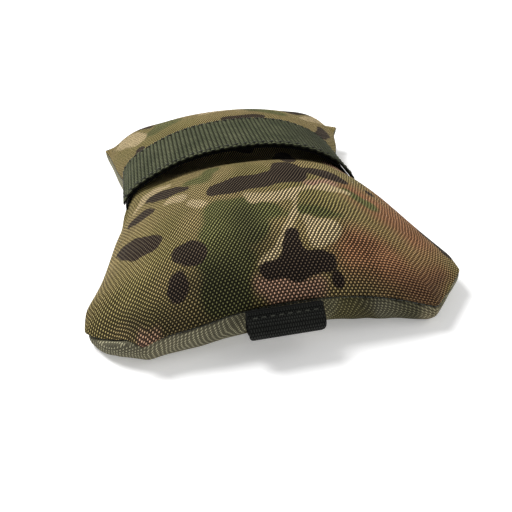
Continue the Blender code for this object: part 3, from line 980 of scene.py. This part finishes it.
def make_stitches(name, starts, ends, up, material, rise=STITCH_RISE, radius=THREAD_RADIUS):
    """Short arched threads, each from a start to an end, lifted along up in their middle."""
    sides, rings = 6, 7
    angles = np.arange(sides) / sides * 2 * math.pi
    points, faces = [], []
    for start, end, lift in zip(starts, ends, up):
        beside = unit(np.cross(end - start, lift))
        first = len(points)
        for ring in range(rings):
            t = ring / (rings - 1)
            arc = math.sin(t * math.pi)
            thick = radius * (0.55 + 0.45 * arc ** 0.5)
            middle = start + (end - start) * t + lift * (arc * rise - radius * 0.3)
            for angle in angles:
                points.append(middle + (beside * math.cos(angle) + lift * math.sin(angle)) * thick)
        index = first + np.arange(rings * sides).reshape(rings, sides)
        wrapped = np.concatenate([index, index[:, :1]], axis=1)
        faces += grid_faces(wrapped)
        faces.append(index[0].tolist())
        faces.append(index[-1, ::-1].tolist())
    piece = new_piece(name, points, faces)
    piece.data.materials.append(material)
    return piece


def dash(path, up, stitch, gap):
    """Cuts a line into stitches: their starts, ends and upward directions."""
    length = along_path(path)
    count = int(length[-1] // (stitch + gap))
    begin = (np.arange(count) + 0.5) / count * length[-1] - stitch / 2
    lift = unit(sample(up, length, begin + stitch / 2))
    return sample(path, length, begin), sample(path, length, begin + stitch), lift


def along_y(path, y):
    """The same line, moved to another y."""
    moved = path.copy()
    moved[:, 1] = y
    return moved


def make_strap(olive, dark, thread):
    """The hand strap on its lining, with their stitching and the tacks at both side seams."""
    lining_middle = LINING_THICKNESS / 2
    strap_middle = LINING_THICKNESS + LAYER_GAP + STRAP_THICKNESS / 2
    side = np.array([0.0, 1.0, 0.0])
    # the lining's near-black is partly painted shade, for the shadowed gap under the strap
    lining = make_webbing("strap_lining", arch_path(lining_middle), side, LINING_HALF,
                          LINING_THICKNESS, LINING_RIB, LINING_RIB_DEPTH, dark)
    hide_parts("hand_strap_lining")
    strap = make_webbing("strap_webbing", arch_path(strap_middle, STRAP_STOP), side, STRAP_HALF,
                         STRAP_THICKNESS, STRAP_RIB, STRAP_RIB_DEPTH, olive)
    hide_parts("hand_strap")

    surface_line = arch_path(strap_middle + STRAP_THICKNESS / 2, STRAP_STOP - 0.03)
    base_line = arch_path(strap_middle, STRAP_STOP - 0.03)
    up = surface_line - base_line
    rows = [dash(along_y(surface_line, STRAP_Y + edge * (STRAP_HALF - STRAP_STITCH_INSET)), up,
                 *STRAP_EDGE_STITCH)
            for edge in (-1, 1)]
    cross = np.linspace(-1, 1, 20)[:, None] * np.array([0.0, STRAP_HALF - CROSS_ROW_INSET, 0.0])
    for station in (0, -1):
        middle = surface_line[station] * np.array([1, 0, 1]) + np.array([0, STRAP_Y, 0])
        rows.append(dash(middle + cross, np.repeat(up[station][None], 20, axis=0), *STRAP_END_STITCH))
    starts, ends, lifts = (np.concatenate(parts) for parts in zip(*rows))
    stitching = make_stitches("strap_stitches", starts, ends, lifts, thread)
    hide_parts("strap_stitching")

    for piece in (lining, strap, stitching):
        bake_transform(piece)

    for end, name, node in ((0, "tack_left", "strap_tack_left"), (-1, "tack_right", "strap_tack_right")):
        line = arch_path(LINING_THICKNESS + 0.1 * MM, TACK_STOP)
        under = arch_path(0.0, TACK_STOP)
        lift = unit(line[end] - under[end])
        tangent = np.cross(lift, (0, 1, 0))
        y = STRAP_Y + (STRAP_HALF - CROSS_ROW_INSET) * np.linspace(-1, 1, TACK_TURNS + 1)
        zigzag = np.where(np.arange(TACK_TURNS + 1) % 2 == 0, 1, -1)[:, None] * tangent * TACK_HALF_WIDTH
        corners = line[end] * np.array([1, 0, 1]) + np.outer(y, (0, 1, 0)) + zigzag
        lifts = np.repeat(lift[None], TACK_TURNS, axis=0)
        tack = make_stitches(name, corners[:-1], corners[1:], lifts, thread, 0.1 * MM, THREAD_RADIUS * 0.8)
        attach(tack, "bag")
        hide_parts(node)


def make_loop(dark, thread):
    """The pull loop, a little narrower at its bend, with a row of stitches across its root."""
    side = np.array([1.0, 0.0, 0.0])
    # the loop's near-black is partly painted shade, for the loop hanging in shadow
    loop = make_webbing("loop_webbing", loop_path(), side, LOOP_HALF, LOOP_THICKNESS,
                        LOOP_RIB, LOOP_RIB_DEPTH, dark, LOOP_NARROWING)
    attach(loop, "loop")
    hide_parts("pull_loop")
    half = LOOP_HALF - LOOP_STITCH_INSET
    height = LOOP_THICKNESS + LAYER_GAP / 2 + 0.15 * MM
    across = np.linspace(-1, 1, 30)
    line = loop_place(np.full(30, 2.2 * MM), np.full(30, height))
    line[:, 0] = LOOP_X + across * half
    up = loop_place(np.zeros(30), np.full(30, 1.0)) - loop_place(np.zeros(30), np.zeros(30))
    stitches = make_stitches("loop_stitches", *dash(line, up, *LOOP_STITCH), thread)
    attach(stitches, "loop")
    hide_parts("pull_loop_stitching")


def make_seam_stitches(thread):
    """The lockstitch in the seam's groove, all round the bag."""
    steps = np.linspace(-1, 1, 161)[:-1]
    u = np.concatenate([steps, np.ones(160), -steps, -np.ones(160)])
    v = np.concatenate([-np.ones(160), steps, np.ones(160), -steps])
    x, y = plan(u, v)
    ring = settle(np.stack([x, y, seam_height(u, v)], axis=1))
    ring = np.concatenate([ring, ring[:1]])
    away = outward(ring)
    starts, ends, lifts = dash(ring - away * 0.9 * MM, away, *SEAM_STITCH)
    seam = make_stitches("seam_stitches", starts, ends, lifts, thread, 0.15 * MM)
    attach(seam, "bag")
    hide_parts("seam_thread")


def make_filling():
    """Tufted fibre inside the cover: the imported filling, smoothed and dimpled inwards."""
    piece = bpy.data.objects.new("fibre_filling", frame["nodes"]["filling"].data.copy())
    scene.collection.objects.link(piece)
    weld = piece.modifiers.new("weld", "WELD")
    weld.merge_threshold = 0.01 * MM
    smooth = piece.modifiers.new("smooth", "SUBSURF")
    smooth.levels = smooth.render_levels = 2
    bake_modifiers(piece)
    mesh = piece.data
    places = vertex_places(mesh)
    normals = vertex_places(mesh, "normal")
    dimple = (0.9 + lumps(places, 12 * MM, 2.0, 4)).clip(0, 2) * 1.3 * MM
    places = places - normals * dimple[:, None]
    places[:, 1] = np.maximum(places[:, 1], LOOP_ROOT_Y + 7 * MM)
    waist = 1 - smoothstep(np.abs(places[:, 1] - STRAP_Y), STRAP_HALF, 2 * STRAP_HALF)
    places[:, 0] *= 1 - 0.12 * waist * smoothstep(np.abs(places[:, 0]), 30 * MM, 55 * MM)
    mesh.vertices.foreach_set("co", places.astype(np.float32).ravel())
    mesh.materials.clear()
    mesh.materials.append(filling_material())
    mesh.shade_smooth()
    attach(piece, "bag")
    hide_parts("filling")


# ---- camera, floor and light ----

def make_camera():
    """Looks down the bumper from its loop end, a little from the left."""
    level = math.cos(CAMERA_PITCH)
    forward = Vector((math.sin(CAMERA_YAW) * level, math.cos(CAMERA_YAW) * level, -math.sin(CAMERA_PITCH)))
    right = Vector((math.cos(CAMERA_YAW), -math.sin(CAMERA_YAW), 0))
    down = forward.cross(right)
    right_rolled = right * math.cos(CAMERA_ROLL) + down * math.sin(CAMERA_ROLL)
    up_rolled = -(down * math.cos(CAMERA_ROLL) - right * math.sin(CAMERA_ROLL))
    turn = Matrix((right_rolled, up_rolled, -forward)).transposed()
    data = bpy.data.cameras.new("camera")
    data.sensor_width = 36
    data.lens = CAMERA_LENS
    data.clip_start = 0.01
    camera = bpy.data.objects.new("camera", data)
    camera.matrix_world = Matrix.Translation(CAMERA_PLACE) @ turn.to_4x4()
    scene.collection.objects.link(camera)
    scene.camera = camera


def make_floor():
    corners = [(x * FLOOR_HALF, y * FLOOR_HALF, 0) for x, y in ((-1, -1), (1, -1), (1, 1), (-1, 1))]
    floor = new_piece("floor", corners, [[0, 1, 2, 3]], smooth=False)
    r = Recipe("floor", Roughness=0.9)
    position = r.node("NewGeometry", {}).outputs["Position"]
    tone = r.mix(r.noise(position, 3.0), (0.90, 0.90, 0.90, 1), (0.93, 0.93, 0.93, 1))
    r.put(r.shader.inputs["Base Color"], tone)
    r.put(r.shader.inputs["Emission Color"], (1, 1, 1, 1))
    r.put(r.shader.inputs["Emission Strength"], FLOOR_GLOW)
    floor.data.materials.append(r.material)


def make_light(name, place, size, power):
    data = bpy.data.lights.new(name, "AREA")
    data.shape = "DISK"
    data.size = size
    data.energy = power
    light = bpy.data.objects.new(name, data)
    light.location = place
    light.rotation_euler = (Vector(LIGHT_TARGET) - Vector(place)).to_track_quat("-Z", "Y").to_euler()
    scene.collection.objects.link(light)


def make_surroundings():
    world = bpy.data.worlds.new("studio")
    world.use_nodes = True
    background = world.node_tree.nodes["Background"]
    background.inputs["Color"].default_value = (1.0, 1.0, 1.0, 1)
    background.inputs["Strength"].default_value = SKY_STRENGTH
    scene.world = world
    for name, (place, size, power) in LIGHTS.items():
        make_light(name, place, size, power)
    scene.view_settings.view_transform = "Standard"


make_camera()
make_floor()
make_surroundings()
make_cover()
olive_webbing = webbing_material("olive_webbing", colour(47, 49, 33), colour(36, 39, 24),
                                 1.8 * MM, STRAP_RIB, 0.6, 0.95)
# near-black webbing for the lining and the loop: partly their own dark colour, partly painted shade for the
# shadowed gap under the strap and the loop hanging in shadow
dark_webbing = webbing_material("dark_webbing", colour(14, 15, 12), colour(10, 11, 9),
                                1.0 * MM, LOOP_RIB, 0.5, 0.7)
thread_tone = thread_material("thread", colour(44, 46, 34))
make_strap(olive_webbing, dark_webbing, thread_tone)
make_loop(dark_webbing, thread_tone)
make_seam_stitches(thread_tone)
make_filling()
